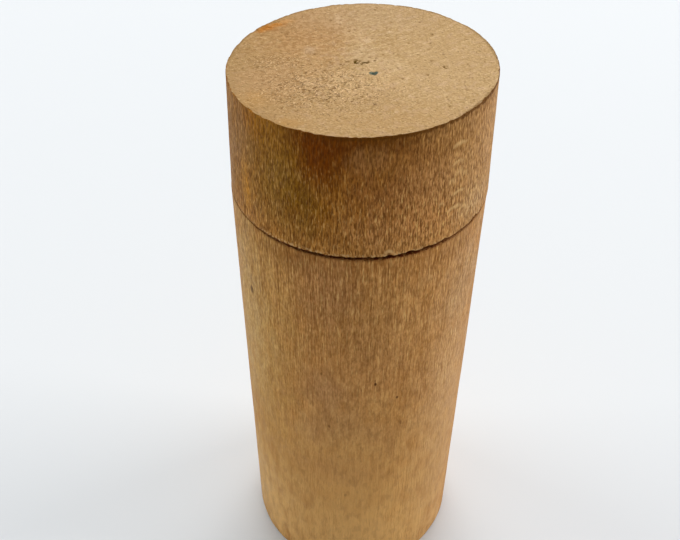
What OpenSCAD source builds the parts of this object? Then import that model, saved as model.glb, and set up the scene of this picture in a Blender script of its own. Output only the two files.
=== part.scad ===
// Turned-wood needle case: a round body with a blind needle chamber and an integral spigot,
// and a pull-off cap whose blind socket fits over the spigot.
// The origin is the centre of the base, and +Z points up through the cap.

/* [Outside] */
// Diameter of the body, and of the cap at the seam
case_d = 32; // [28:0.5:40]
// Height of the seam above the base
shoulder_z = 66.8; // [55:0.1:90]
// Height of the cap above the seam, on its axis
cap_h = 15.6; // [14.5:0.1:22]
// How much the cap narrows in diameter from the seam to its top
cap_taper_d = 1.1; // [0:0.1:1.5]

/* [Top face] */
// How far the sawn top face is out of square, in degrees
top_slope = 1.6; // [0:0.1:2]
// Which way the top face rises, in degrees from +X towards +Y
top_rises_to = -20; // [-180:5:180]

/* [Needle chamber] */
// Diameter of the needle chamber
chamber_d = 20; // [16:0.5:20.5]
// Thickness of wood under the chamber's wall
floor_t = 7; // [4:0.5:12]
// How far the chamber's floor dips from its wall to its centre
floor_dish = 1.2; // [0.2:0.1:2.5]

/* [Spigot and socket] */
// Diameter of the spigot
spigot_d = 24.8; // [24:0.1:25]
// Height of the spigot above the seam
spigot_h = 10.5; // [8:0.5:11]
// Radial gap between the spigot and the socket
fit_gap = 0.05; // [0.03:0.01:0.1]
// Gap between the spigot's rim and the socket's ceiling
ceiling_gap = 0.6; // [0.3:0.1:1]

/* [Edges] */
// Bevel around the base
base_bevel = 0.4; // [0.1:0.1:1]
// Bevel on each side of the seam
seam_bevel = 0.15; // [0.05:0.05:0.3]
// Bevel at the spigot's rim, inside and outside
spigot_bevel = 0.5; // [0.2:0.1:0.8]
// Bevel at the socket's mouth
socket_bevel = 0.6; // [0.2:0.1:1]

/* [Hidden] */
$fn = 180;

case_r = case_d / 2;
chamber_r = chamber_d / 2;
spigot_r = spigot_d / 2;
spigot_z = shoulder_z + spigot_h;

socket_r = spigot_r + fit_gap;
ceiling_z = spigot_z + ceiling_gap;
cap_top_z = shoulder_z + cap_h;
cap_top_r = case_r - cap_taper_d / 2;

// The cap's blank stands this far above the finished top face before the sloping cut.
blank_extra = 2;
// The cone of the cap's side goes on at the same slope to the top of the blank.
blank_top_r = cap_top_r - blank_extra * (case_r - cap_top_r) / cap_h;

// Half of the body's section, from the base's centre round to the chamber floor's centre.
body_outline = [
    [0, 0],
    [case_r - base_bevel, 0],
    [case_r, base_bevel],
    [case_r, shoulder_z - seam_bevel],
    [case_r - seam_bevel, shoulder_z],
    [spigot_r, shoulder_z],
    [spigot_r, spigot_z - spigot_bevel],
    [spigot_r - spigot_bevel, spigot_z],
    [chamber_r + spigot_bevel, spigot_z],
    [chamber_r, spigot_z - spigot_bevel],
    [chamber_r, floor_t],
    [0, floor_t - floor_dish],
];

// Half of the section of the cap's blank, from the socket's ceiling round to the flat top.
cap_outline = [
    [0, ceiling_z],
    [socket_r, ceiling_z],
    [socket_r, shoulder_z + socket_bevel],
    [socket_r + socket_bevel, shoulder_z],
    [case_r - seam_bevel, shoulder_z],
    [case_r, shoulder_z + seam_bevel],
    [blank_top_r, cap_top_z + blank_extra],
    [0, cap_top_z + blank_extra],
];

// Everything above the sloping top face, as a block resting on it.
module above_top_face() {
    translate([0, 0, cap_top_z])
        rotate([0, 0, top_rises_to])
        rotate([0, -top_slope, 0])
        translate([-case_d, -case_d, 0])
        cube([2 * case_d, 2 * case_d, 4 * blank_extra]);
}

// The turned body: base, side, shoulder, spigot and needle chamber, all one piece of wood.
module body() {
    color("burlywood")
        rotate_extrude()
        polygon(body_outline);
}

// The turned cap: tapered side, blind socket, and a top face sawn slightly out of square.
module cap() {
    color("tan")
        difference() {
            rotate_extrude()
                polygon(cap_outline);
            above_top_face();
        }
}

body();
cap();
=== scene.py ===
import math

import bpy
import numpy as np
from mathutils import Matrix, Vector


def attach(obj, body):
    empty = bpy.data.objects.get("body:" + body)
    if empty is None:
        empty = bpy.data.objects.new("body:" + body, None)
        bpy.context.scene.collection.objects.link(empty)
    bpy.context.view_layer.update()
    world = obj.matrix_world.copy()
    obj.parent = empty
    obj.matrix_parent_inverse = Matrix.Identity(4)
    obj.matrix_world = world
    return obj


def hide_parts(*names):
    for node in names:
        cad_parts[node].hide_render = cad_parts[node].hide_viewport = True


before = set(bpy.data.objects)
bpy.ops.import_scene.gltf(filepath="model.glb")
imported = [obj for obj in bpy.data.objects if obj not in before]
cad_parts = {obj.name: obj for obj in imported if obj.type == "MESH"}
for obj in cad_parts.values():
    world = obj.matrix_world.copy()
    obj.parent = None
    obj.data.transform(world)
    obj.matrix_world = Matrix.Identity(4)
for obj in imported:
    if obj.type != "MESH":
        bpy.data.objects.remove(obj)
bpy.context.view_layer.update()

# A turned beech needle case. Each of its two pieces is a fine lathe mesh built on the CAD node's
# own section, with worn edges, chips, pits and grain. Lengths here are in millimetres, and an
# angle round the case is counted from its front, -Y, towards +X.

MM = 0.001


# ------------ sizes from the CAD nodes

def vertices(mesh):
    """A mesh's vertices, in metres."""
    points = np.zeros(len(mesh.vertices) * 3, np.float32)
    mesh.vertices.foreach_get("co", points)
    return points.reshape(-1, 3)


def node_section(node):
    """A CAD node's vertices in millimetres, with their radii and heights."""
    points = vertices(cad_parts[node].data).astype(float) / MM
    return points, np.hypot(points[:, 0], points[:, 1]), points[:, 2]


_, BODY_R, BODY_Z = node_section("body")
CAP, CAP_R, CAP_Z = node_section("cap")
SAME = 0.01  # heights and radii nearer than this are the same
RIM_DEPTH = 1.0  # how far below the highest point the rim's slope is read

CASE_R = BODY_R.max()
SEAM_Z = CAP_Z.min()
SPIGOT_Z = BODY_Z.max()
SPIGOT_R = BODY_R[np.abs(BODY_Z - SEAM_Z) < SAME].min()
CHAMBER_R = BODY_R[BODY_Z > SEAM_Z / 2].min()
FLOOR_EDGE_Z = BODY_Z[np.abs(BODY_R - CHAMBER_R) < SAME].min()
FLOOR_MID_Z = BODY_Z[BODY_R < SAME].max()

SOCKET_R = CAP_R.min()
CEILING_Z = CAP_Z[np.abs(CAP_R - SOCKET_R) < SAME].max()
MOUTH_R = CAP_R[np.abs(CAP_Z - SEAM_Z) < SAME].min()
RIM_POINTS = CAP[CAP_Z > CAP_Z.max() - RIM_DEPTH]
# The sloping top face: its height on the axis, and how much it rises per millimetre of X and Y
TOP_Z, TOP_RISE_X, TOP_RISE_Y = np.linalg.lstsq(
    np.c_[np.ones(len(RIM_POINTS)), RIM_POINTS[:, :2]], RIM_POINTS[:, 2], rcond=None
)[0]
TOP_R = np.hypot(RIM_POINTS[:, 0], RIM_POINTS[:, 1]).mean()


# ------------ noise and small shapes

def hashed(cells, seed):
    """A repeatable number from -1 to 1 for each whole-number cell."""
    x, y, z = (cells[..., k].astype(np.int64) for k in range(3))
    mixed = (x * 374761393 + y * 668265263 + z * 1440662683 + seed * 1274126177) & 0xFFFFFFFF
    mixed = ((mixed ^ (mixed >> 13)) * 1274126177) & 0xFFFFFFFF
    return ((mixed ^ (mixed >> 16)) & 0xFFFF) / 32767.5 - 1.0


def rough(points, size, seed):
    """Smooth noise from -1 to 1 at each point. size is how long its bumps are along X, Y and Z."""
    scaled = points / np.array(size, float)
    cell = np.floor(scaled)
    share = scaled - cell
    share = share * share * (3.0 - 2.0 * share)
    total = np.zeros(points.shape[:-1])
    for corner in np.ndindex(2, 2, 2):
        weight = np.where(np.array(corner) == 1, share, 1.0 - share).prod(axis=-1)
        total += weight * hashed(cell + corner, seed)
    return total


def hump(distance, half_width):
    """1 at distance 0, falling smoothly to almost 0 past half_width."""
    return np.exp(-(2.0 * (distance / half_width) ** 2))


def add_object(name, data):
    """Puts a new object that shows this data in the scene."""
    added = bpy.data.objects.new(name, data)
    bpy.context.scene.collection.objects.link(added)
    return added


# ------------ the lathe

TURN_STEPS = 600
TURN = np.linspace(0.0, 2.0 * math.pi, TURN_STEPS, endpoint=False)
AROUND = np.stack([np.sin(TURN), -np.cos(TURN)], axis=1)
ARC = (np.degrees(TURN) + 180.0) % 360.0 - 180.0  # degrees from the front, -180 to 180
MM_PER_DEGREE = math.radians(1.0) * CASE_R


def ring(radius, height):
    """A ring of points. radius and height are numbers, or hold one value for each angle."""
    radius = np.broadcast_to(radius, TURN_STEPS)
    height = np.broadcast_to(height, TURN_STEPS)
    return np.c_[AROUND * radius[:, None], height]


def worn_edge(radius, height, worn, leans, side=1):
    """Rings round a worn edge, whose arc is upright at height. side is -1 for a hole's edge."""
    return [
        ring(radius - side * worn * (1 - math.cos(lean)), height + worn * math.sin(lean))
        for lean in np.radians(leans)
    ]


def lathe_mesh(name, stretches, pole_first, pole_last):
    """A closed mesh from stretches, a list of (material number, rings), and a point at each end."""
    rings = np.concatenate([np.array(rings) for _, rings in stretches])
    numbers = np.concatenate([np.full(len(rings), number) for number, rings in stretches])
    count = len(rings)
    points = np.concatenate([rings.reshape(-1, 3), [pole_first, pole_last]])
    here = np.arange(TURN_STEPS)
    after = (here + 1) % TURN_STEPS
    faces, slots = [], []
    for k in range(count - 1):
        low, high = k * TURN_STEPS, (k + 1) * TURN_STEPS
        faces += np.c_[low + here, low + after, high + after, high + here].tolist()
        slots += [int(numbers[k + 1])] * TURN_STEPS
    first, last = count * TURN_STEPS, count * TURN_STEPS + 1
    end = (count - 1) * TURN_STEPS
    faces += [[first, int(b), int(a)] for a, b in zip(here, after)]
    faces += [[end + int(a), end + int(b), last] for a, b in zip(here, after)]
    slots += [int(numbers[0])] * TURN_STEPS + [int(numbers[-1])] * TURN_STEPS
    mesh = bpy.data.meshes.new(name)
    mesh.from_pydata((points * MM).tolist(), [], faces)
    mesh.polygons.foreach_set("material_index", slots)
    mesh.shade_smooth()
    mesh.set_sharp_from_angle(angle=math.radians(50.0))
    mesh.update()
    return mesh


# ------------ wear that both pieces share

def side_relief(points, seed):
    """How far the turned side stands proud: drying, handling and raised grain."""
    return (
        0.05 * rough(points, (16, 16, 34), seed)
        + 0.02 * rough(points, (4, 4, 7), seed + 1)
        + 0.012 * rough(points, (0.9, 0.9, 6), seed + 2)
        + 0.008 * rough(points, (0.4, 0.4, 2.5), seed + 3)
    )


def push_out(rings, amounts):
    """Moves ring points along their own radius."""
    return [
        points + np.c_[AROUND * amount[:, None], np.zeros(TURN_STEPS)]
        for points, amount in zip(rings, amounts)
    ]


def edge_wear(seed, least, most, size):
    """The radius of a worn edge, for each angle: mostly small, with worn stretches."""
    rim = ring(CASE_R, 0.0)
    return least + (most - least) * np.clip(rough(rim, (size,) * 3, seed) + 0.2, 0.0, 1.0)


def chips(marks):
    """A height for each angle from (angle in degrees, half width, height) marks."""
    return sum(tall * hump((ARC - angle) * MM_PER_DEGREE, half) for angle, half, tall in marks)


# Where the seam's lips are chipped: angle, half width and height
CAP_LIP_CHIPS = [(19.8, 0.60, 0.24), (11.5, 0.5, 0.12), (36.5, 0.5, 0.14), (29.0, 0.35, 0.08),
                 (55.5, 0.6, 0.22), (58.3, 0.4, 0.36), (-28.0, 0.5, 0.06), (112.0, 0.9, 0.2),
                 (171.0, 0.7, 0.16), (-140.0, 1.1, 0.2)]
BODY_LIP_CHIPS = [(-79.0, 0.9, 0.3), (8.5, 0.3, 0.08), (26.0, 0.6, 0.08), (47.0, 0.5, 0.1),
                  (-3.0, 0.35, 0.06), (93.0, 0.8, 0.16), (148.0, 0.5, 0.22), (-118.0, 0.7, 0.12)]
LIP_GAP = 0.04  # the least that each lip stands off the seam's level


def lip_height(marks, seed, worn_side):
    """How far one lip of the seam stands off its level at each angle. It's worn more on one side."""
    rim = ring(CASE_R, 0.0)
    teeth = np.clip(rough(rim, (0.42,) * 3, seed) + 0.1, 0.0, 1.0)
    nibbles = np.clip(rough(rim, (1.2,) * 3, seed + 20) - 0.05, 0.0, 1.0)
    front = hump(ARC, 75.0)
    right = hump(ARC - 40.0, 50.0)
    open_gap = LIP_GAP * (1.0 + 1.2 * front)
    one_side = 0.12 * hump(ARC - worn_side, 60.0)
    ragged = 0.16 * teeth * (0.30 + 0.70 * front) + 0.08 * nibbles * right
    return open_gap + one_side + ragged + chips(marks)


CAP_LIP = SEAM_Z + lip_height(CAP_LIP_CHIPS, 52, 45.0)
BODY_LIP = SEAM_Z - lip_height(BODY_LIP_CHIPS, 51, -35.0)
SEAT_DEPTH = 1.2  # how far in from the side the two pieces really touch
SEAT_GAP = 0.01  # how far each seat stays off the seam's level
# The slope from a worn lip in to its seat: distance from the side, share of the lip's height
LIP_SLOPE = [(0.45, 0.8), (0.8, 0.4), (SEAT_DEPTH, 0.0)]


def lip_slope(lip, seat):
    """Rings from a worn lip in to the level where the two pieces touch."""
    return [
        ring(CASE_R - inset, lip * share + seat * (1 - share)) for inset, share in LIP_SLOPE
    ]


# ------------ the body's mesh

BASE_WEAR_MOST = 0.75  # largest radius worn on the base's edge
CENTRE_DENT = 0.5  # depth and radius of the lathe centre's dent in the base
CENTRE_DENT_R = 1.5
SIDE_STEP = 0.7  # height between rings on the body's side
BASE_GAP = 0.02  # the sawn base's mean height above the ground plane


def base_rings():
    """The sawn base, a hair above the ground plane, with the dent of the lathe's centre."""
    rings = []
    for radius in (0.3, 0.7, 1.1, *np.linspace(CENTRE_DENT_R, CASE_R - BASE_WEAR_MOST, 10)):
        points = ring(radius, 0.0)
        marks = rough(points, (6.0, 0.7, 1.0), 41) + rough(points, (2.5, 2.5, 1.0), 42)
        dent = CENTRE_DENT * max(0.0, 1.0 - radius / CENTRE_DENT_R)
        points[:, 2] = BASE_GAP + 0.012 * marks + dent
        rings.append(points)
    return rings


def body_side_rings():
    """The base's worn edge, the side, and the worn lip at the shoulder."""
    wear = edge_wear(43, 0.3, BASE_WEAR_MOST, 5.0)
    edge = edge_wear(44, 0.08, 0.2, 3.0)
    start, stop = BASE_WEAR_MOST + 0.1, BODY_LIP - edge
    count = int((SEAM_Z - start) / SIDE_STEP)
    rings = worn_edge(CASE_R, wear, wear, (-90, -65, -40, -15))
    rings += [ring(CASE_R, start + (stop - start) * share) for share in np.linspace(0, 1, count)]
    rings += worn_edge(CASE_R, stop, edge, (30, 60, 90))
    return push_out(rings, [side_relief(points, 60) for points in rings])


def seat_rings():
    """The shoulder, from its worn lip in to the foot of the spigot."""
    seat = SEAM_Z - SEAT_GAP
    return lip_slope(BODY_LIP, seat) + [ring(MOUTH_R, seat), ring(SPIGOT_R + 0.1, seat - 0.02)]


def spigot_rings():
    """The spigot: a burnished wall with faint tool rings, and a worn rim."""
    wall = []
    for height in np.linspace(SEAM_Z + 0.05, SPIGOT_Z - 0.75, 13):
        points = ring(SPIGOT_R, height)
        groove = 0.02 + 0.02 * rough(points, (30, 30, 0.9), 71) + 0.01 * rough(points, (2, 2, 3), 72)
        wall.append(ring(SPIGOT_R - np.clip(groove, 0.0, 1.0), height))
    outer = edge_wear(73, 0.35, 0.6, 2.5)
    inner = edge_wear(74, 0.25, 0.5, 2.5)
    dents = chips([(-35.0, 1.2, 0.25), (70.0, 0.8, 0.2), (160.0, 1.6, 0.35), (-150.0, 0.7, 0.18)])
    top = SPIGOT_Z - 0.02 - dents
    rim = worn_edge(SPIGOT_R - 0.02, top - outer, outer, (15, 45, 75, 90))
    rim.append(ring((SPIGOT_R + CHAMBER_R) / 2, top))
    rim += worn_edge(CHAMBER_R, top - inner, inner, (90, 60, 30, 5), side=-1)
    return wall, rim


def chamber_rings():
    """The bored needle chamber, with the boring tool's marks, down to its dished floor."""
    wall = []
    for height in np.linspace(SPIGOT_Z - 1.2, FLOOR_EDGE_Z + 0.3, 16):
        points = ring(CHAMBER_R, height)
        marks = rough(points, (9, 9, 5), 75) + rough(points, (0.8, 0.8, 9), 76)
        wall.append(ring(CHAMBER_R + 0.03 + 0.025 * marks, height))
    wall.append(ring(CHAMBER_R, FLOOR_EDGE_Z))
    floor = []
    for share in (0.85, 0.65, 0.45, 0.25, 0.1):
        height = FLOOR_MID_Z + (FLOOR_EDGE_Z - FLOOR_MID_Z) * share
        floor.append(ring(CHAMBER_R * share, height + 0.02 * (share > 0.3)))
    return wall + floor


# The numbers of the body's materials, in the order in which it is given them below
BODY_SIDE, BODY_END, SPIGOT_WALL, RAW_BORE = range(4)


def make_body():
    wall, rim = spigot_rings()
    seat = seat_rings()
    stretches = [
        (BODY_END, base_rings()),
        (BODY_SIDE, body_side_rings()),
        # These shoulder rings inside the gap take the side's material, so the seam's grime and
        # painted shade cover them.
        (BODY_SIDE, seat[:3]),
        (BODY_END, seat[3:]),
        (SPIGOT_WALL, wall),
        (BODY_END, rim),
        (RAW_BORE, chamber_rings()),
    ]
    mesh = lathe_mesh("case_body", stretches, (0, 0, CENTRE_DENT), (0, 0, FLOOR_MID_Z - 0.1))
    return add_object("case_body", mesh)


# ------------ the cap's mesh

TOP_STEP = 0.2  # distance between rings on the top face
CAP_SIDE_STEP = 0.3  # height between rings on the cap's side


def top_height(points):
    """The sloping top face's height at each point."""
    return TOP_Z + TOP_RISE_X * points[:, 0] + TOP_RISE_Y * points[:, 1]


def cap_radius(height):
    """The tapered side's radius at each height."""
    return CASE_R + (TOP_R - CASE_R) * (height - SEAM_Z) / (TOP_Z - SEAM_Z)


def socket_rings():
    """The socket's ceiling, wall and bevelled mouth."""
    ceiling = []
    for radius in np.linspace(0.5, SOCKET_R - 0.3, 9):
        points = ring(radius, CEILING_Z)
        marks = rough(points, (1.2, 1.2, 1.0), 81)
        ceiling.append(ring(radius, CEILING_Z + 0.03 + 0.02 * marks + 0.25 * hump(radius, 1.6)))
    wall = [ring(SOCKET_R, CEILING_Z)]
    for height in np.linspace(CEILING_Z - 0.3, SEAM_Z + (MOUTH_R - SOCKET_R), 12):
        points = ring(SOCKET_R, height)
        marks = np.clip(rough(points, (25, 25, 0.8), 82), 0.0, 1.0)
        wall.append(ring(SOCKET_R + 0.03 * marks, height))
    wall.append(ring(MOUTH_R, SEAM_Z + 0.01))
    return ceiling, wall


# Chips in the top rim: angle, half width and height
RIM_CHIPS = [(-64.0, 0.7, 0.14), (5.0, 0.4, 0.1), (-25.0, 0.4, 0.12), (49.0, 0.5, 0.12),
             (57.0, 0.6, 0.16), (128.0, 1.1, 0.2), (-160.0, 0.8, 0.16)]


def rim_wear():
    """The worn radius of the top rim, with a ragged stretch of torn fibres at the front right."""
    rim = ring(TOP_R, 0.0)
    worn = edge_wear(92, 0.07, 0.20, 4.0)
    torn = np.clip(rough(rim, (0.6,) * 3, 93), 0.0, 1.0)
    frayed = np.clip(rough(rim, (0.45,) * 3, 97), 0.0, 1.0)
    at_right = hump(ARC - 54.0, 20.0)
    return worn + 0.22 * torn * at_right + 0.20 * frayed + chips(RIM_CHIPS)


def cap_side_rings():
    """The lip, the tapered side, and the worn rim up to the top face."""
    edge = edge_wear(91, 0.06, 0.16, 3.0)
    wear = rim_wear()
    start, stop = CAP_LIP + edge * 1.1, top_height(ring(TOP_R, 0.0)) - wear
    count = int((TOP_Z - SEAM_Z) / CAP_SIDE_STEP)
    heights = [start + (stop - start) * share for share in np.linspace(0, 1, count)]
    rings = worn_edge(cap_radius(CAP_LIP), CAP_LIP + edge, edge, (-90, -55, -20))
    rings += [ring(cap_radius(height), height) for height in heights]
    rings += worn_edge(cap_radius(stop), stop, wear, (25, 50, 75))
    return push_out(rings, [side_relief(points, 64) for points in rings])


# Pits in the top face: X, Y, half length, half width, depth
TOP_PITS = [(-0.80, 0.22, 0.15, 0.30, 0.20), (-0.62, 0.52, 0.22, 0.15, 0.16),
            (-0.55, -0.10, 0.24, 0.15, 0.20), (-0.26, 0.34, 0.16, 0.20, 0.07),
            (-0.04, -0.24, 0.16, 0.18, 0.16), (0.22, 0.02, 0.22, 0.15, 0.15),
            (0.52, -0.04, 0.22, 0.16, 0.17), (0.74, 0.16, 0.12, 0.26, 0.09),
            (1.46, 0.38, 0.12, 0.15, 0.13), (1.58, 0.84, 0.11, 0.20, 0.05),
            (9.20, -1.30, 0.12, 0.22, 0.14), (9.36, -1.66, 0.17, 0.11, 0.12),
            (9.52, -1.30, 0.10, 0.14, 0.07), (-11.9, -0.5, 0.18, 0.34, 0.05),
            (-11.3, -0.6, 0.16, 0.30, 0.05), (-1.9, -4.4, 0.20, 0.15, 0.08),
            (-2.6, -7.2, 0.22, 0.16, 0.10), (-4.4, -6.9, 0.20, 0.14, 0.10)]
OPEN_GRAIN = (-4.2, -5.4)  # the middle of the coarse, open-grained patch
OPEN_GRAIN_SPREAD = (3.9, 2.5)
OPEN_GRAIN_PITS = 210
STRAY_PITS = 150


def scattered_pits():
    """Small open pores, most of them in the coarse patch at the front left of the top."""
    dice = np.random.default_rng(7)
    places = dice.normal(OPEN_GRAIN, OPEN_GRAIN_SPREAD, (OPEN_GRAIN_PITS, 2))
    stray = dice.uniform(-TOP_R, TOP_R, (STRAY_PITS, 2))
    pits = []
    for x, y in np.concatenate([places, stray]):
        half = dice.uniform(0.09, 0.15)
        depth = dice.uniform(0.035, 0.125)
        if math.hypot(x, y) < TOP_R - 0.6:
            pits.append((x, y, half * dice.uniform(0.8, 1.4), half, depth))
    return pits


def pit_depths(points, pits):
    """(depth, darkness from 0 to 1) of the pits at each point of the top face."""
    depth, dark = np.zeros(len(points)), np.zeros(len(points))
    for x, y, half_x, half_y, deep in pits:
        away = np.hypot((points[:, 0] - x) / half_x, (points[:, 1] - y) / half_y)
        share = np.clip(1.25 - away, 0.0, 1.0) ** 0.7
        depth = np.maximum(depth, deep * share)
        dark = np.maximum(dark, np.minimum(1.0, deep / 0.12) * share)
    return depth, dark


def top_rings():
    """The sawn and sanded end-grain top, from just inside its rim to the centre."""
    pits = TOP_PITS + scattered_pits()
    rings = []
    widest = TOP_R - rim_wear().max() - 0.1
    for radius in np.linspace(widest, TOP_STEP, int(widest / TOP_STEP)):
        points = ring(radius, 0.0)
        along = points @ np.array([[0.8, 0.6, 0.0], [-0.6, 0.8, 0.0], [0.0, 0.0, 1.0]]).T
        scratches = rough(along, (5.0, 0.35, 1.0), 95)
        sanding = rough(points, (5.0, 5.0, 1.0), 94)
        open_grain = hump(np.hypot(*(points[:, :2] - OPEN_GRAIN).T), 7.0)
        fuzz = rough(points, (0.3, 0.3, 1.0), 96)
        fade = hump(TOP_R - radius, 1.0)
        depth, _ = pit_depths(points, pits)
        points[:, 2] = (
            top_height(points)
            + 0.03 * sanding
            + 0.008 * scratches
            + (0.008 + 0.045 * open_grain) * fuzz
            - 0.06 * fade
            - depth
        )
        rings.append(points)
    return rings


# The numbers of the cap's materials
CAP_SIDE, CAP_END, CAP_SOCKET = range(3)


def make_cap():
    ceiling, wall = socket_rings()
    seat = lip_slope(CAP_LIP, SEAM_Z + SEAT_GAP)[::-1]
    stretches = [
        (CAP_SOCKET, ceiling),
        (CAP_SOCKET, wall),
        (CAP_SOCKET, seat[:1]),
        # These seat rings inside the gap take the side's material, so the seam's grime and painted
        # shade cover them.
        (CAP_SIDE, seat[1:]),
        (CAP_SIDE, cap_side_rings()),
        (CAP_END, top_rings()),
    ]
    mesh = lathe_mesh("case_cap", stretches, (0, 0, CEILING_Z + 0.3), (0, 0, TOP_Z - 0.15))
    stain_pits(mesh, TOP_PITS + scattered_pits())
    return add_object("case_cap", mesh)


def stain_pits(mesh, pits):
    """Stores how dark each point is where a pit holds dirt, for the top face's material."""
    points = vertices(mesh) / MM
    _, dark = pit_depths(points, pits)
    dark[points[:, 2] < CEILING_Z + 1.0] = 0.0
    layer = mesh.attributes.new("dirt", "FLOAT", "POINT")
    layer.data.foreach_set("value", dark.astype(np.float32))


# ------------ materials

ACROSS_RINGS = Vector((0.60, -0.80, 0.0))  # the growth rings' spacing runs this way
ALONG_RINGS = Vector((0.80, 0.60, 0.0))
RING_WIDTH = 1.8
# The seam's grime, dark enough to paint in the shade inside its gap too.
SEAM_GRIME_AND_SHADE = (0.092, 0.014, 0.002)
SPECK_TINT = (0.085, 0.025, 0.003)
PIT_DIRT = (0.135, 0.076, 0.008)
PORE_DIRT = (0.165, 0.074, 0.012)
ARCH_TINT = (0.720, 0.450, 0.180)
ARCH_WIDTH = 0.4  # how thick the pale arches of grain are at their tops
SPECKLE_TINT = (0.95, 1.15, 1.55)  # how much a speckle changes red, green and blue
MATT_WOOD_IOR = 1.15  # open, dusty wood reflects far less than a polished one


class Graph:
    """Builds a material. Most calls add nodes and return an output socket."""

    def __init__(self, name):
        self.material = bpy.data.materials.new(name)
        self.material.use_nodes = True
        self.tree = self.material.node_tree
        self.tree.nodes.clear()
        spot = self.tree.nodes.new("ShaderNodeTexCoord").outputs["Object"]
        self.at = self.vector("SCALE", spot, scale=1.0 / MM)
        self.x, self.y, self.z = self.split(self.at)
        angle = self.math("ARCTAN2", self.x, self.math("MULTIPLY", self.y, -1.0))
        self.flat = self.join(self.math("MULTIPLY", angle, CASE_R), self.z, 0.0)

    def feed(self, socket, value):
        """Links a socket to another's output, or sets its number."""
        if isinstance(value, bpy.types.NodeSocket):
            self.tree.links.new(value, socket)
        else:
            socket.default_value = value

    def math(self, operation, *values, clamp=False):
        node = self.tree.nodes.new("ShaderNodeMath")
        node.operation, node.use_clamp = operation, clamp
        for socket, value in zip(node.inputs, values):
            self.feed(socket, value)
        return node.outputs[0]

    def add(self, *values):
        """The sum of any number of values."""
        total = values[0]
        for value in values[1:]:
            total = self.math("ADD", total, value)
        return total

    def times(self, value, factor):
        return self.math("MULTIPLY", value, factor)

    def less(self, value, taken):
        return self.math("SUBTRACT", value, taken)

    def vector(self, operation, *values, scale=None):
        node = self.tree.nodes.new("ShaderNodeVectorMath")
        node.operation = operation
        for socket, value in zip(node.inputs, values):
            self.feed(socket, value)
        if scale is not None:
            self.feed(node.inputs["Scale"], scale)
        return node.outputs["Value" if operation in ("LENGTH", "DOT_PRODUCT") else "Vector"]

    def split(self, vector):
        node = self.tree.nodes.new("ShaderNodeSeparateXYZ")
        self.feed(node.inputs[0], vector)
        return node.outputs

    def join(self, x, y, z):
        node = self.tree.nodes.new("ShaderNodeCombineXYZ")
        for socket, value in zip(node.inputs, (x, y, z)):
            self.feed(socket, value)
        return node.outputs[0]

    def noise(self, size, seed, detail=1.0, where=None):
        """Noise from 0 to 1, mostly near 0.5. size is how long its bumps are along X, Y and Z."""
        spot = self.vector("DIVIDE", self.at if where is None else where, Vector(size))
        spot = self.vector("ADD", spot, Vector((seed * 7.31, seed * 3.77, seed * 5.19)))
        node = self.tree.nodes.new("ShaderNodeTexNoise")
        self.feed(node.inputs["Vector"], spot)
        node.inputs["Scale"].default_value = 1.0
        node.inputs["Detail"].default_value = detail
        return node.outputs["Fac"]

    def swing(self, value, low, high):
        """0 where value is at low and 1 where it is at high, with soft ends."""
        node = self.tree.nodes.new("ShaderNodeMapRange")
        node.interpolation_type = "SMOOTHSTEP"
        self.feed(node.inputs["Value"], value)
        node.inputs["From Min"].default_value = low
        node.inputs["From Max"].default_value = high
        return node.outputs["Result"]

    def spots(self, size, seed, detail, low, high, where=None):
        """Noise with its contrast raised: 0 where it is under low and 1 where it is over high."""
        return self.swing(self.noise(size, seed, detail, where), low, high)

    def wobble(self, size, seed, detail, amount):
        """Noise round 0, amount from end to end, that roughens an outline."""
        return self.times(self.less(self.noise(size, seed, detail), 0.5), amount)

    def patch(self, where, middle, half, ragged, soft=0.5):
        """1 inside an oval patch and 0 outside it. ragged is noise that roughens its outline."""
        away = self.vector("SUBTRACT", where, Vector((*middle, 0.0)))
        away = self.vector("DIVIDE", away, Vector((*half, 1.0)))
        away = self.vector("LENGTH", self.vector("MULTIPLY", away, Vector((1.0, 1.0, 0.0))))
        return self.swing(self.math("ADD", away, ragged), 1.0 + soft, 1.0 - soft)

    def mix(self, share, first, second, blend="MIX"):
        """One colour laid over another. share is a number or a socket."""
        node = self.tree.nodes.new("ShaderNodeMix")
        node.data_type, node.blend_type = "RGBA", blend
        self.feed(node.inputs["Factor"], share)
        for socket, value in ((node.inputs["A"], first), (node.inputs["B"], second)):
            self.feed_colour(node, socket.name, value)
        return next(s for s in node.outputs if s.type == "RGBA")

    def feed_colour(self, node, name, value):
        socket = next(s for s in node.inputs if s.name == name and s.type == "RGBA")
        if isinstance(value, bpy.types.NodeSocket):
            self.tree.links.new(value, socket)
        else:
            socket.default_value = (*value, 1.0)

    def ink(self, colour, *layers):
        """Lays (mask, strength, tint) layers over a colour, one after another."""
        for mask, strength, tint in layers:
            colour = self.mix(self.times(mask, strength), colour, tint)
        return colour

    def stain(self, colour, where, marks, ragged, soft):
        """Lays oval (across, up, half sizes, strength, tint) marks over a colour."""
        return self.ink(colour, *(
            (self.patch(where, (across, up), half, ragged, soft), strength, tint)
            for across, up, half, strength, tint in marks
        ))

    def speckle(self, colour, noise, share, depth):
        """Makes a colour paler and darker with noise from 0 to 1: least in red, most in blue."""
        dark = tuple(0.5 - depth * channel for channel in SPECKLE_TINT)
        pale = tuple(0.5 + depth * channel for channel in SPECKLE_TINT)
        return self.mix(share, colour, self.mix(noise, dark, pale), "OVERLAY")

    def from_axis(self):
        """How far each point is from the turning axis."""
        return self.vector("LENGTH", self.join(self.x, self.y, 0.0))

    def rim_level(self):
        """The height of the sloping top face straight above or below each point."""
        slope = Vector((TOP_RISE_X, TOP_RISE_Y, 0.0))
        return self.math("ADD", self.vector("DOT_PRODUCT", self.at, slope), float(TOP_Z))

    def attribute(self, name):
        node = self.tree.nodes.new("ShaderNodeAttribute")
        node.attribute_name = name
        return node.outputs["Fac"]

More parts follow.
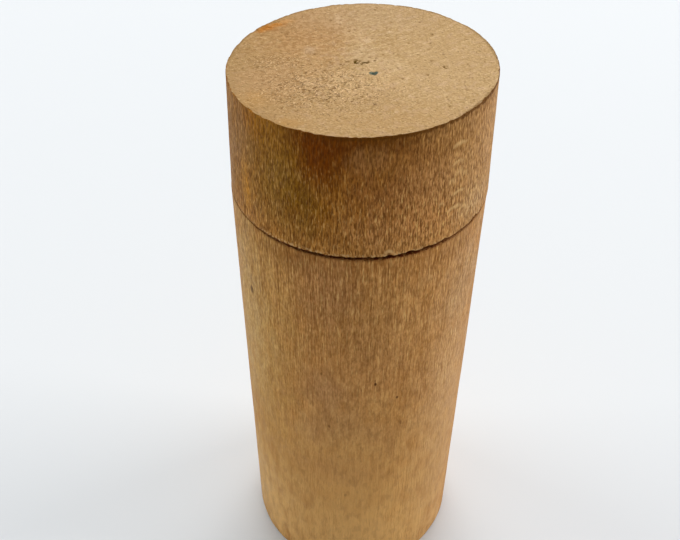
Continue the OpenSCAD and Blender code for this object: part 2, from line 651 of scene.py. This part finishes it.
    def finish(self, colour, roughness, heights, specular=0.35):
        """The shader. heights is a list of (height from 0 to 1, its depth in millimetres)."""
        shader = self.tree.nodes.new("ShaderNodeBsdfPrincipled")
        self.feed(shader.inputs["Base Color"], colour)
        self.feed(shader.inputs["Roughness"], roughness)
        shader.inputs["IOR"].default_value = MATT_WOOD_IOR
        shader.inputs["Specular IOR Level"].default_value = specular
        normal = None
        for height, depth in heights:
            bump = self.tree.nodes.new("ShaderNodeBump")
            bump.inputs["Distance"].default_value = depth * MM
            self.feed(bump.inputs["Height"], height)
            if normal is not None:
                self.feed(bump.inputs["Normal"], normal)
            normal = bump.outputs["Normal"]
        self.feed(shader.inputs["Normal"], normal)
        output = self.tree.nodes.new("ShaderNodeOutputMaterial")
        self.feed(output.inputs["Surface"], shader.outputs[0])
        return self.material


def side_spot(degrees, height):
    """A place on the unrolled side, from an angle and a height."""
    return degrees * MM_PER_DEGREE, height


def on_side(marks):
    """Marks whose place is an angle and a height, as marks on the unrolled side."""
    return [(*side_spot(*mark[:2]), *mark[2:]) for mark in marks]


def grain(g, seed, long, short):
    """Side grain's parts, 0 to 1: streaks long mm in length, bands, flecks short mm long, glints."""
    streaks = g.spots((0.28, 0.28, long), seed, 2.0, 0.38, 0.62)
    bands = g.spots((1.5, 1.5, 22.0), seed + 1, 2.0, 0.34, 0.66)
    flecks = g.spots((0.16, 0.16, short), seed + 2, 2.0, 0.48, 0.62)
    glints = g.spots((0.16, 0.16, short), seed + 3, 1.0, 0.54, 0.68)
    return streaks, bands, flecks, glints


def seam_share(g):
    """How much grime and painted shade the seam holds: most at the front, less round the sides and
    the back.
    """
    turn = g.times(g.split(g.flat)[0], 1.0 / MM_PER_DEGREE)
    from_front = g.math("ABSOLUTE", g.add(turn, 6.0))
    return g.add(0.38, g.times(g.swing(from_front, 56.0, 24.0), 0.60))


def arch(g, degrees, height, half):
    """A pale arch of grain, where the turned side only just meets a growth ring."""
    ragged = g.wobble((0.7, 0.7, 0.5), 17, 2.0, 1.2)
    outer = g.patch(g.flat, side_spot(degrees, height), half, ragged, 0.4)
    inner = g.patch(g.flat, side_spot(degrees, height - ARCH_WIDTH), half, ragged, 0.4)
    return g.math("SUBTRACT", outer, inner, clamp=True)


# Stains on the cap's side: degrees, height, half sizes, strength, tint
CAP_STAINS = [
    (-28, 76.5, (3.6, 7.5), 0.66, (0.185, 0.082, 0.0)),
    (-22.5, 72.0, (0.8, 4.2), 0.36, (0.160, 0.076, 0.012)),
    (-13, 80.6, (5.2, 4.4), 0.56, (0.205, 0.058, 0.0)),
    (-15, 81.7, (4.2, 2.1), 0.88, (0.140, 0.030, 0.0)),
    (-16.5, 80.0, (2.2, 2.0), 0.62, (0.140, 0.030, 0.0)),
    (-17.5, 78.4, (1.8, 2.6), 0.72, (0.175, 0.040, 0.0)),
    (-3, 82.2, (3.8, 1.3), 0.78, (0.145, 0.036, 0.0)),
    (12, 81.8, (2.4, 1.5), 0.80, (0.150, 0.042, 0.0)),
    (25, 82.2, (6.0, 1.0), 0.32, (0.180, 0.075, 0.010)),
    (57, 82.6, (3.4, 1.2), 0.34, (0.260, 0.110, 0.030)),
    (-57.0, 73.0, (0.7, 2.6), 0.95, (0.720, 0.300, 0.030)),
    (-55.0, 70.6, (0.7, 1.8), 0.90, (0.720, 0.300, 0.030)),
    (-46, 81.0, (2.6, 2.4), 0.80, (0.360, 0.125, 0.006)),
    (-43, 79.6, (2.6, 2.0), 0.45, (0.330, 0.110, 0.0)),
    (-72, 75.6, (3.6, 8.5), 0.46, (0.310, 0.180, 0.075)),
    (-58, 78.6, (2.2, 3.4), 0.36, (0.275, 0.158, 0.070)),
    (-41, 77.0, (3.2, 6.5), 0.50, (0.240, 0.125, 0.020)),
    (2.0, 79.9, (2.0, 1.4), 0.60, (0.350, 0.160, 0.044)),
    (45, 77.0, (3.0, 4.5), 0.30, (0.480, 0.255, 0.085)),
    (17, 76.0, (4.5, 4.5), 0.35, (0.330, 0.140, 0.050)),
    (34, 79.6, (4.6, 1.8), 0.34, (0.215, 0.072, 0.0)),
    (28, 73.5, (4.6, 4.4), 0.32, (0.500, 0.232, 0.074)),
    (4, 74.0, (3.0, 4.0), 0.30, (0.380, 0.142, 0.033)),
    (8, 70.4, (3.6, 2.0), 0.38, (0.520, 0.235, 0.074)),
    (19, 70.2, (5.6, 2.6), 0.62, (0.560, 0.256, 0.078)),
    (28, 67.9, (8.0, 1.5), 0.54, (0.570, 0.280, 0.090)),
    (57, 69.0, (3.2, 2.8), 0.40, (0.620, 0.410, 0.200)),
    (-40, 70.0, (5.0, 2.4), 0.35, (0.350, 0.168, 0.040)),
    (-54, 74.0, (2.4, 4.0), 0.40, (0.300, 0.145, 0.032)),
    (118, 74.0, (3.5, 5.0), 0.45, (0.220, 0.105, 0.020)),
    (-150, 79.5, (5.0, 2.6), 0.55, (0.180, 0.070, 0.010)),
    (160, 70.5, (2.6, 2.2), 0.40, (0.400, 0.190, 0.040)),
]
# Pale arches of grain: degrees, height, half sizes, strength
ARCHES = [
    (41.6, 79.2, (0.95, 0.50), 0.66),
    (41.2, 76.9, (0.75, 0.55), 0.62),
    (38.6, 74.5, (0.55, 0.80), 0.60),
    (42.4, 75.2, (0.60, 0.95), 0.70),
    (46.0, 74.6, (0.50, 0.75), 0.60),
    (43.0, 72.9, (0.95, 0.40), 0.66),
    (33.6, 72.0, (0.40, 0.70), 0.55),
    (41.0, 70.9, (1.00, 0.45), 0.66),
    (46.5, 70.2, (0.70, 0.50), 0.60),
    (-142.0, 78.0, (0.90, 0.40), 0.30),
    (-138.0, 75.6, (0.50, 0.75), 0.36),
    (-143.5, 74.2, (0.70, 0.40), 0.25),
    (-140.0, 71.2, (0.60, 0.60), 0.32),
]


def cap_side_flecks(g, colour, flecks, glints, ragged):
    """Pale glints, dark ray flecks and grit, longer dashes at the front right, pale arches."""
    lower = g.swing(g.z, 80.0, 70.0)
    stained = g.patch(g.flat, side_spot(-8, 81.5), (7.5, 3.6), ragged, 0.5)
    glinting = g.patch(g.flat, side_spot(26, 71), (6.5, 4.0), ragged)
    dashed = g.patch(g.flat, side_spot(26, 72), (7.0, 4.2), ragged)
    dashes = g.spots((0.20, 0.20, 1.3), 23, 1.0, 0.58, 0.66)
    clean = g.less(1.0, g.times(stained, 0.75))
    glint_share = g.times(g.add(0.28, g.times(lower, 0.12)), clean)
    colour = g.ink(
        colour,
        (glints, g.add(glint_share, g.times(glinting, 0.25)), (0.700, 0.395, 0.125)),
        (flecks, g.add(0.54, g.times(lower, 0.08)), (0.110, 0.031, 0.001)),
    )
    colour = g.speckle(colour, g.spots((0.22, 0.22, 0.62), 16, 3.0, 0.38, 0.62), 1.0, 0.095)
    colour = g.ink(colour, (g.times(dashes, dashed), 0.55, (0.105, 0.030, 0.001)))
    return g.ink(colour, *(
        (arch(g, degrees, height, half), strength, ARCH_TINT)
        for degrees, height, half, strength in ARCHES
    ))


def cap_side_edges(g, colour):
    """The dark line under the rim, and at the seam: the frayed lip, pale from wear and with a
    painted highlight, a nick, and grime with painted shade in the gap.
    """
    below_rim = g.add(g.less(g.rim_level(), g.z), g.wobble((0.5, 0.5, 4.0), 17, 2.0, 0.9))
    under_rim = g.times(g.swing(below_rim, 0.46, 0.20), g.swing(g.x, -12.0, 4.0))
    # The frayed lip above the seam is made pale: worn, fresh fibres, with a painted highlight along
    # its edge.
    frayed = g.spots((0.24, 0.24, 0.30), 19, 1.0, 0.48, 0.60)
    lip = g.times(g.swing(g.z, SEAM_Z + 0.75, SEAM_Z + 0.35), frayed)
    nick = g.patch(g.flat, side_spot(11.3, 67.2), (0.28, 0.28), 0.0)
    bitten = g.add(g.z, g.wobble((0.30, 0.30, 2.0), 18, 2.0, 0.45))
    # Grime along the seam, darkened further as painted shade over the lip's edge and the seat inside
    # the gap.
    seam_dirt_and_shade = g.swing(bitten, SEAM_Z + 0.30, SEAM_Z + 0.14)
    return g.ink(
        colour,
        (under_rim, 0.80, (0.105, 0.034, 0.002)),
        (lip, seam_share(g), (0.560, 0.330, 0.130)),
        (arch(g, 11.3, 67.5, (0.50, 0.40)), 0.8, (0.660, 0.400, 0.160)),
        (nick, 0.6, SEAM_GRIME_AND_SHADE),
        (seam_dirt_and_shade, seam_share(g), SEAM_GRIME_AND_SHADE),
    )


def cap_side_material():
    """Handled beech, dark with grease and stain, thickly marked with short dark ray flecks."""
    g = Graph("cap_side_beech")
    streaks, bands, flecks, glints = grain(g, 1, 5.0, 0.9)
    fringe = g.wobble((0.22, 0.22, 3.0), 21, 2.0, 1.3)
    ragged = g.add(g.wobble((1.1, 1.1, 2.4), 11, 4.0, 1.7), fringe)
    mottle = g.spots((3.0, 3.0, 5.0), 12, 3.0, 0.3, 0.7)
    painted_light_right, to_back = g.swing(g.x, 2.0, 13.0), g.swing(g.y, -6.0, 11.0)
    above_seam = g.swing(g.z, SEAM_Z + 3.0, SEAM_Z + 1.2)
    colour = g.ink(
        g.mix(streaks, (0.275, 0.096, 0.008), (0.425, 0.172, 0.026)),
        (bands, 0.35, (0.250, 0.098, 0.011)),
        (mottle, 0.30, (0.440, 0.205, 0.055)),
        # Painted light: the cap grows paler towards its right, the side that is lit more strongly.
        (painted_light_right, 0.56, (0.630, 0.375, 0.165)),
        (to_back, 0.34, (0.520, 0.305, 0.130)),
    )
    colour = g.stain(colour, g.flat, on_side(CAP_STAINS), ragged, 0.7)
    colour = g.ink(colour, (above_seam, 0.26, (0.500, 0.235, 0.066)))
    colour = cap_side_flecks(g, colour, flecks, glints, ragged)
    colour = cap_side_edges(g, colour)
    polish = g.less(0.62, g.times(mottle, 0.12))
    return g.finish(colour, polish, [(flecks, -0.04), (streaks, 0.03), (mottle, 0.05)], 0.25)


# Patches on the body's side: degrees, height, half sizes, strength, tint. Most are the wood's own
# stains and tone. The tall pale strips at -64, -55 and 53 degrees are painted light: the paler,
# sheen-lit look of the side towards its edges. The broad pale patches low at the front and low on
# the left are partly paler wood and partly painted light bounced up from the floor.
BODY_STAINS_AND_PAINTED_LIGHT = [
    (-55, 48, (6.0, 26.0), 0.40, (0.520, 0.330, 0.090)),
    (-62, 10, (8.0, 11.0), 0.45, (0.690, 0.475, 0.210)),
    (-44, 26, (5.5, 7.0), 0.40, (0.400, 0.205, 0.052)),
    (-24, 65, (4.5, 1.6), 0.62, (0.230, 0.088, 0.014)),
    (4, 65.6, (7.0, 1.2), 0.35, (0.300, 0.105, 0.018)),
    (53, 38, (5.0, 36.0), 0.50, (0.640, 0.400, 0.195)),
    (-14, 61, (3.4, 5.0), 0.45, (0.410, 0.195, 0.078)),
    (24, 57, (6.0, 7.0), 0.45, (0.600, 0.310, 0.104)),
    (5, 46, (7.5, 7.5), 0.38, (0.620, 0.300, 0.100)),
    (-64, 50, (4.0, 15.0), 0.40, (0.600, 0.410, 0.180)),
    (-16, 43, (2.6, 3.4), 0.38, (0.370, 0.190, 0.090)),
    (-9, 37, (3.4, 3.0), 0.32, (0.380, 0.200, 0.090)),
    (-22, 34, (2.4, 2.6), 0.35, (0.400, 0.210, 0.090)),
    (8, 34.5, (3.0, 2.2), 0.25, (0.420, 0.210, 0.085)),
    (28, 47, (3.4, 6.5), 0.35, (0.370, 0.175, 0.050)),
    (20, 33, (3.0, 3.0), 0.35, (0.380, 0.180, 0.060)),
    (4, 54, (2.4, 5.0), 0.30, (0.390, 0.185, 0.052)),
    (12, 40, (2.2, 2.4), 0.35, (0.640, 0.330, 0.095)),
    (0, 14, (12.5, 20.0), 0.55, (0.800, 0.440, 0.140)),
    (4, 6, (13.0, 8.0), 0.50, (0.860, 0.500, 0.175)),
    (54, 57, (4.0, 5.0), 0.30, (0.520, 0.330, 0.160)),
    (46, 15, (4.5, 15.0), 0.28, (0.480, 0.275, 0.100)),
    (-33, 17, (3.2, 10.0), 0.24, (0.430, 0.225, 0.070)),
    (-9, 26, (6.5, 3.0), 0.26, (0.420, 0.185, 0.060)),
    (-17, 58, (3.0, 4.5), 0.26, (0.350, 0.150, 0.040)),
    (44, 64.6, (3.2, 1.8), 0.42, (0.300, 0.115, 0.018)),
    (-55, 64.6, (3.0, 1.8), 0.35, (0.280, 0.130, 0.030)),
    (105, 50, (4.0, 9.0), 0.35, (0.380, 0.190, 0.055)),
    (155, 28, (4.0, 8.0), 0.40, (0.340, 0.165, 0.045)),
    (-125, 38, (3.5, 12.0), 0.35, (0.600, 0.330, 0.110)),
]
# Dark specks on the body: degrees from the front, height, half sizes, strength
BODY_SPECKS = [
    (8.2, 45.1, (0.16, 0.30), 0.90),
    (8.0, 45.7, (0.09, 0.28), 0.60),
    (19.2, 41.7, (0.19, 0.24), 0.75),
    (-58.0, 54.9, (0.36, 0.62), 0.72),
    (-13.5, 36.0, (0.18, 0.30), 0.50),
    (-17.0, 46.5, (0.14, 0.30), 0.50),
    (22.0, 36.0, (0.16, 0.45), 0.40),
    (-5.0, 20.0, (0.20, 0.35), 0.30),
    (120.0, 31.0, (0.25, 0.40), 0.70),
    (-155.0, 52.0, (0.20, 0.50), 0.70),
]


def body_side_edges(g, colour):
    """The reddish, grease-soaked band, and the grime just under the seam with painted shade for its
    gap.
    """
    bitten = g.add(g.z, g.wobble((0.34, 0.34, 2.0), 20, 2.0, 0.40))
    # Grime just under the seam, darkened further as painted shade over the lip's edge and the
    # shoulder inside the gap.
    seam_dirt_and_shade = g.swing(bitten, SEAM_Z - 0.26, SEAM_Z - 0.12)
    soaked = g.times(g.swing(g.z, SEAM_Z - 0.65, SEAM_Z - 0.2), seam_share(g))
    return g.ink(
        colour,
        (soaked, 0.45, (0.110, 0.026, 0.002)),
        (seam_dirt_and_shade, seam_share(g), SEAM_GRIME_AND_SHADE),
    )


def body_side_material():
    """Handled beech, paler and smoother than the cap's, and paler still towards the base, partly as
    less handled wood and partly as painted light bounced up from the floor.
    """
    g = Graph("body_side_beech")
    streaks, bands, flecks, glints = grain(g, 5, 7.0, 1.5)
    ragged = g.wobble((1.6, 1.6, 3.4), 13, 4.0, 2.2)
    mottle = g.spots((2.4, 2.4, 3.0), 14, 3.0, 0.34, 0.66)
    blots = g.spots((0.9, 0.9, 2.2), 15, 3.0, 0.48, 0.64)
    grit = g.spots((0.24, 0.24, 0.66), 16, 3.0, 0.38, 0.62)
    threads = g.spots((0.15, 0.15, 9.0), 22, 1.0, 0.36, 0.64)
    upper, near_seam = g.swing(g.z, 22.0, 64.0), g.swing(g.z, 46.0, 64.0)
    middle = g.patch(g.flat, side_spot(0, 42), (14.0, 16.0), ragged, 0.9)
    fleck_share = g.add(0.08, g.times(upper, 0.16), g.times(near_seam, 0.26))

    streaked = g.mix(streaks, (0.390, 0.165, 0.038), (0.700, 0.362, 0.118))
    colour = g.ink(
        g.mix(g.add(0.45, g.times(upper, 0.45)), (0.555, 0.272, 0.084), streaked),
        (bands, 0.40, (0.415, 0.185, 0.042)),
        (mottle, 0.45, (0.465, 0.225, 0.064)),
        # Darker with height, so paler low down: partly less handled wood, partly painted light from
        # the floor.
        (upper, 0.40, (0.410, 0.170, 0.038)),
        (g.swing(g.y, -8.0, 8.0), 0.50, (0.560, 0.345, 0.160)),
    )
    # Stains and tone, with painted light at the side's edges and low down.
    colour = g.stain(colour, g.flat, on_side(BODY_STAINS_AND_PAINTED_LIGHT), ragged, 0.8)
    colour = g.ink(
        colour,
        (blots, g.add(0.20, g.times(middle, 0.24)), (0.300, 0.128, 0.034)),
        (glints, g.add(0.09, g.times(upper, 0.21)), (0.800, 0.490, 0.170)),
        (flecks, fleck_share, (0.180, 0.062, 0.009)),
    )
    colour = g.speckle(colour, grit, g.swing(g.z, 10.0, 60.0), 0.075)
    colour = g.speckle(colour, threads, g.swing(g.z, 24.0, 62.0), 0.058)
    specks = [(*speck, SPECK_TINT) for speck in BODY_SPECKS]
    colour = g.stain(colour, g.flat, on_side(specks), 0.0, 0.4)
    colour = body_side_edges(g, colour)
    polish = g.less(0.58, g.times(mottle, 0.12))
    return g.finish(colour, polish, [(flecks, -0.03), (streaks, 0.028), (mottle, 0.04)], 0.30)


def end_grain(g, seed):
    """Each point's place along and across the rings, and end grain's parts, 0 to 1."""
    along = g.vector("DOT_PRODUCT", g.at, ALONG_RINGS)
    across = g.vector("DOT_PRODUCT", g.at, ACROSS_RINGS)
    turned = g.join(along, across, 0.0)
    wander = g.times(g.noise((7.0, 7.0, 9.0), seed, 1.0), 2.4)
    turns = g.times(g.add(across, wander), 2.0 * math.pi / RING_WIDTH)
    rings = g.swing(g.math("SINE", turns), 0.1, 1.0)
    lines = g.spots((2.6, 0.28, 1.0), seed + 1, 2.0, 0.38, 0.62, turned)
    grit = g.spots((0.27, 0.27, 3.0), seed + 2, 2.0, 0.34, 0.66)
    pores = g.spots((0.30, 0.30, 3.0), seed + 3, 1.0, 0.61, 0.73)
    glints = g.spots((0.33, 0.33, 3.0), seed + 4, 1.0, 0.60, 0.74)
    return turned, rings, lines, grit, pores, glints


# Tints on the top face: X, Y, half sizes, strength, tint
TOP_STAINS = [
    (-11.0, 2.0, (5.0, 13.0), 0.66, (0.380, 0.215, 0.080)),
    (-13.9, -3.0, (1.8, 7.0), 0.45, (0.350, 0.215, 0.088)),
    (-10.5, -7.0, (4.0, 7.0), 0.55, (0.380, 0.225, 0.090)),
    (-8.0, 9.2, (5.2, 4.0), 0.64, (0.370, 0.206, 0.078)),
    (-5.6, 6.0, (4.4, 7.0), 0.60, (0.440, 0.242, 0.100)),
    (-7.7, -12.4, (1.3, 0.8), 0.55, (0.480, 0.240, 0.055)),
    (-10.5, -4.0, (3.4, 3.4), 0.30, (0.480, 0.285, 0.150)),
    (-6.0, -5.0, (6.0, 4.0), 0.30, (0.520, 0.305, 0.130)),
    (8.0, 0.0, (6.0, 9.0), 0.45, (0.560, 0.375, 0.190)),
    (-12.2, 8.6, (0.9, 0.7), 0.66, (0.440, 0.160, 0.018)),
    (-11.2, 9.4, (1.0, 0.8), 0.84, (0.440, 0.150, 0.012)),
    (-10.3, 10.0, (1.1, 0.6), 0.76, (0.480, 0.180, 0.022)),
    (-9.2, 10.8, (0.9, 0.5), 0.40, (0.580, 0.260, 0.060)),
    (-11.6, -7.6, (1.6, 1.6), 0.40, (0.500, 0.270, 0.080)),
    (-0.2, 2.2, (1.5, 2.2), 0.30, (0.580, 0.420, 0.250)),
    (-4.4, 10.4, (2.6, 3.0), 0.38, (0.400, 0.225, 0.088)),
    (-0.2, 6.6, (1.5, 2.0), 0.28, (0.640, 0.440, 0.245)),
    (-2.8, 11.2, (0.4, 1.1), 0.38, (0.700, 0.490, 0.290)),
    (-6.0, 3.1, (0.7, 1.0), 0.22, (0.560, 0.430, 0.310)),
    (-0.6, -4.6, (3.8, 2.4), 0.45, (0.660, 0.435, 0.215)),
    (2.4, -0.6, (2.2, 1.9), 0.28, (0.660, 0.465, 0.265)),
    (-3.5, -12.0, (8.5, 3.8), 0.52, (0.430, 0.258, 0.108)),
    (6.0, -12.6, (6.0, 2.4), 0.30, (0.470, 0.285, 0.120)),
    (0.5, 11.0, (7.0, 3.2), 0.45, (0.500, 0.335, 0.185)),
]
# The ink speck on the top face: X, Y, half sizes, strength, tint
INK_BLOTS = [
    (1.02, -2.46, (0.26, 0.34), 0.80, (0.090, 0.145, 0.115)),
    (1.34, -2.58, (0.30, 0.36), 0.90, (0.032, 0.062, 0.047)),
    (1.60, -2.34, (0.19, 0.28), 0.82, (0.045, 0.090, 0.074)),
]


def coarse_grain(g, turned, ragged):
    """Raised and sunken fibres, 0 to 1, at the front left of the top and near its left edge. The
    raised ones are where a highlight is painted.
    """
    by_edge = g.patch(g.at, (-9.6, 0.2), (3.2, 1.8), ragged, 0.8)
    coarse = g.patch(g.at, OPEN_GRAIN, (6.2, 4.2), ragged, 0.9)
    coarse = g.math("MAXIMUM", coarse, g.times(by_edge, 0.7))
    raised = g.times(g.spots((0.27, 0.17, 1.0), 33, 1.0, 0.53, 0.66, turned), coarse)
    sunken = g.times(g.spots((0.25, 0.18, 1.0), 34, 1.0, 0.57, 0.68, turned), coarse)
    return raised, sunken


def cap_top_rim(g, colour, uneven):
    """The torn stretch at the front right of the top's rim, and the shade at its back."""
    around = g.split(g.flat)[0]
    out = g.from_axis()
    at_edge = g.swing(g.add(out, uneven), TOP_R - 0.45, TOP_R - 0.15)
    torn = g.times(g.swing(around, 10.0, 13.0), g.swing(around, 20.0, 17.0))
    behind = g.times(g.swing(out, TOP_R - 0.45, TOP_R - 0.2), g.swing(g.y, -2.0, 3.0))
    return g.ink(
        colour,
        (g.times(at_edge, torn), 0.45, (0.120, 0.052, 0.010)),
        (behind, 0.60, (0.240, 0.140, 0.046)),
    )


def cap_top_material():
    """Sanded end-grain beech: the palest wood, with open pores, an ink speck and a warm rim."""
    g = Graph("cap_top_end_grain")
    turned, rings, lines, grit, pores, glints = end_grain(g, 21)
    ragged = g.wobble((1.0, 1.0, 9.0), 27, 4.0, 2.0)
    blot = g.times(ragged, 0.4)
    mottle = g.spots((2.6, 2.6, 9.0), 28, 3.0, 0.3, 0.7)
    pinks = g.spots((0.9, 0.9, 9.0), 29, 2.0, 0.48, 0.66)
    olives = g.spots((0.7, 0.7, 9.0), 30, 3.0, 0.52, 0.66)
    cloud = g.spots((0.60, 0.60, 9.0), 37, 4.0, 0.38, 0.62)
    raised, sunken = coarse_grain(g, turned, ragged)
    lined = g.patch(g.at, (4.0, 6.0), (8.0, 8.5), ragged, 0.9)
    weathered = g.patch(g.at, (-6.0, 5.0), (12.0, 9.0), ragged, 0.8)

    colour = g.ink(
        g.mix(grit, (0.405, 0.252, 0.104), (0.620, 0.424, 0.220)),
        (mottle, 0.50, (0.440, 0.270, 0.124)),
        (pinks, 0.50, (0.585, 0.388, 0.246)),
        (olives, 0.50, (0.360, 0.228, 0.080)),
        (lines, g.add(0.20, g.times(lined, 0.54)), (0.360, 0.220, 0.080)),
        (rings, 0.16, (0.370, 0.222, 0.085)),
    )
    colour = g.stain(colour, g.at, TOP_STAINS, ragged, 0.8)
    colour = g.speckle(colour, cloud, weathered, 0.065)
    colour = g.ink(
        colour,
        (pores, 0.18, (0.205, 0.108, 0.026)),
        (glints, 0.24, (0.860, 0.620, 0.330)),
        (sunken, 0.54, (0.215, 0.100, 0.018)),
        # A pale painted highlight on the raised fibres.
        (raised, 0.74, (0.960, 0.640, 0.345)),
        (g.attribute("dirt"), 0.80, PORE_DIRT),
    )
    colour = g.stain(colour, g.at, [
        (x, y, (half_x, half_y), min(0.95, deep / 0.2), PIT_DIRT)
        for x, y, half_x, half_y, deep in TOP_PITS
    ], blot, 0.4)
    colour = cap_top_rim(g, colour, blot)
    colour = g.stain(colour, g.at, INK_BLOTS, blot, 0.3)
    relief = [(grit, 0.04), (raised, 0.08), (sunken, -0.08), (pores, -0.06)]
    return g.finish(colour, 0.70, relief, 0.30)


def shade(tint, factor):
    """A tint made darker or paler."""
    return tuple(factor * channel for channel in tint)


def raw_wood_material(name, pale, deep, roughness, ringed):
    """Unhandled beech inside the case. ringed is how strongly the tool's rings show."""
    g = Graph(name)
    streaks, bands, flecks, glints = grain(g, 31, 7.0, 1.4)
    tool = g.spots((9.0, 9.0, 0.35), 35, 1.0, 0.35, 0.65)
    mottle = g.spots((2.4, 2.4, 2.0), 36, 3.0, 0.42, 0.68)
    colour = g.ink(
        g.mix(streaks, deep, pale),
        (bands, 0.35, deep),
        (flecks, 0.30, shade(deep, 0.4)),
        (glints, 0.20, shade(pale, 1.2)),
        (tool, ringed, shade(deep, 0.6)),
        (mottle, 0.30, deep),
    )
    return g.finish(colour, roughness, [(tool, 0.05), (streaks, 0.03)], 0.2)


def raw_end_material(name, pale, deep):
    """Bare end grain: the base, the shoulder and the spigot's rim."""
    g = Graph(name)
    _, rings, lines, grit, pores, glints = end_grain(g, 41)
    mottle = g.spots((3.2, 3.2, 9.0), 46, 3.0, 0.3, 0.7)
    out = g.from_axis()
    on_base = g.swing(g.z, 1.2, 0.7)
    rubbed = g.swing(g.add(out, g.times(mottle, 3.0)), CASE_R - 3.5, CASE_R + 1.5)
    dented = g.swing(out, CENTRE_DENT_R + 0.1, CENTRE_DENT_R - 0.5)
    colour = g.ink(
        g.mix(grit, deep, pale),
        (mottle, 0.40, deep),
        (rings, 0.25, shade(deep, 0.7)),
        (lines, 0.15, shade(deep, 0.7)),
        (pores, 0.35, shade(deep, 0.35)),
        (glints, 0.25, shade(pale, 1.25)),
        (g.times(rubbed, on_base), 0.60, (0.270, 0.160, 0.070)),
        (g.times(dented, on_base), 0.65, (0.150, 0.075, 0.022)),
    )
    return g.finish(colour, 0.7, [(grit, 0.03), (pores, -0.05)], 0.15)


# ------------ the floor, the light, the camera

FLOOR_HALF = 2.5  # metres
FLOOR_TINT = (0.72, 0.745, 0.77)


def make_floor():
    """A pale sheet of paper under the case. It isn't part of the object."""
    mesh = bpy.data.meshes.new("floor")
    signs = ((-1, -1), (1, -1), (1, 1), (-1, 1))
    corners = [(x * FLOOR_HALF, y * FLOOR_HALF, 0.0) for x, y in signs]
    mesh.from_pydata(corners, [], [(0, 1, 2, 3)])
    floor = add_object("floor", mesh)
    material = bpy.data.materials.new("floor_paper")
    material.use_nodes = True
    shader = material.node_tree.nodes["Principled BSDF"]
    shader.inputs["Base Color"].default_value = (*FLOOR_TINT, 1.0)
    shader.inputs["Roughness"].default_value = 0.9
    shader.inputs["Specular IOR Level"].default_value = 0.1
    mesh.materials.append(material)


def add_light(name, place, size, power, tint):
    """A square soft light at place, in metres, aimed at the middle of the case."""
    lamp = bpy.data.lights.new(name, "AREA")
    lamp.shape, lamp.size = "SQUARE", size
    lamp.energy, lamp.color = power, tint
    light = add_object(name, lamp)
    light.location = place
    towards = Vector((0.0, 0.0, SEAM_Z * MM)) - Vector(place)
    light.rotation_euler = towards.to_track_quat("-Z", "Y").to_euler()


def light_scene():
    add_light("window_behind", (0.1, 1.3, 1.7), 1.6, 32.0, (1.0, 0.99, 0.97))
    add_light("window_left", (-1.9, 0.5, 0.9), 1.2, 18.0, (0.97, 1.0, 0.98))
    add_light("window_right", (1.9, 0.3, 0.9), 1.2, 26.0, (1.0, 0.97, 0.94))
    world = bpy.data.worlds.new("room")
    world.use_nodes = True
    background = world.node_tree.nodes["Background"]
    background.inputs["Color"].default_value = (0.95, 0.97, 1.0, 1.0)
    background.inputs["Strength"].default_value = 0.38
    bpy.context.scene.world = world
    bpy.context.scene.view_settings.view_transform = "Standard"


PITCH = 42.33  # degrees that the camera looks down
ROLL = 0.31  # degrees that it leans
LENS, SENSOR = 46.2, 36.0  # millimetres: its focal length, and the sensor's width
NEAR_CLIP, FAR_CLIP = 0.01, 20.0  # metres: the camera is only about 0.1 from the cap
# From the camera to the middle of the top face, in case diameters: right, up and ahead
TOP_FROM_CAMERA = (0.0778, 0.7346, 3.092)


def add_camera():
    """A close camera in front of the case, looking down on it."""
    tilt, lean = math.radians(PITCH), math.radians(ROLL)
    ahead = Vector((0.0, math.cos(tilt), -math.sin(tilt)))
    level_right = Vector((1.0, 0.0, 0.0))
    level_up = level_right.cross(ahead)
    right = level_right * math.cos(lean) + level_up * math.sin(lean)
    up = level_up * math.cos(lean) - level_right * math.sin(lean)
    offsets = [axis * share for axis, share in zip((right, up, ahead), TOP_FROM_CAMERA)]
    top = Vector((0.0, 0.0, TOP_Z))
    lens = bpy.data.cameras.new("camera")
    lens.lens, lens.sensor_width = LENS, SENSOR
    lens.clip_start, lens.clip_end = NEAR_CLIP, FAR_CLIP
    turned = Matrix((right, up, -ahead)).transposed()
    place = (top - sum(offsets, Vector()) * 2.0 * CASE_R) * MM
    camera = add_object("camera", lens)
    camera.matrix_world = Matrix.Translation(place) @ turned.to_4x4()
    bpy.context.scene.camera = camera


# ------------ assembly

make_floor()
light_scene()
add_camera()

body = make_body()
for material in (
    body_side_material(),
    raw_end_material("body_end_grain", (0.60, 0.390, 0.180), (0.46, 0.270, 0.105)),
    raw_wood_material("spigot_beech", (0.62, 0.385, 0.165), (0.50, 0.280, 0.100), 0.50, 0.30),
    raw_wood_material("bore_beech", (0.60, 0.385, 0.175), (0.45, 0.255, 0.095), 0.75, 0.20),
):
    body.data.materials.append(material)
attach(body, "body")
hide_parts("body")

cap = make_cap()
for material in (
    cap_side_material(),
    cap_top_material(),
    raw_wood_material("socket_beech", (0.60, 0.385, 0.175), (0.45, 0.255, 0.095), 0.70, 0.20),
):
    cap.data.materials.append(material)
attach(cap, "cap")
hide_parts("cap")
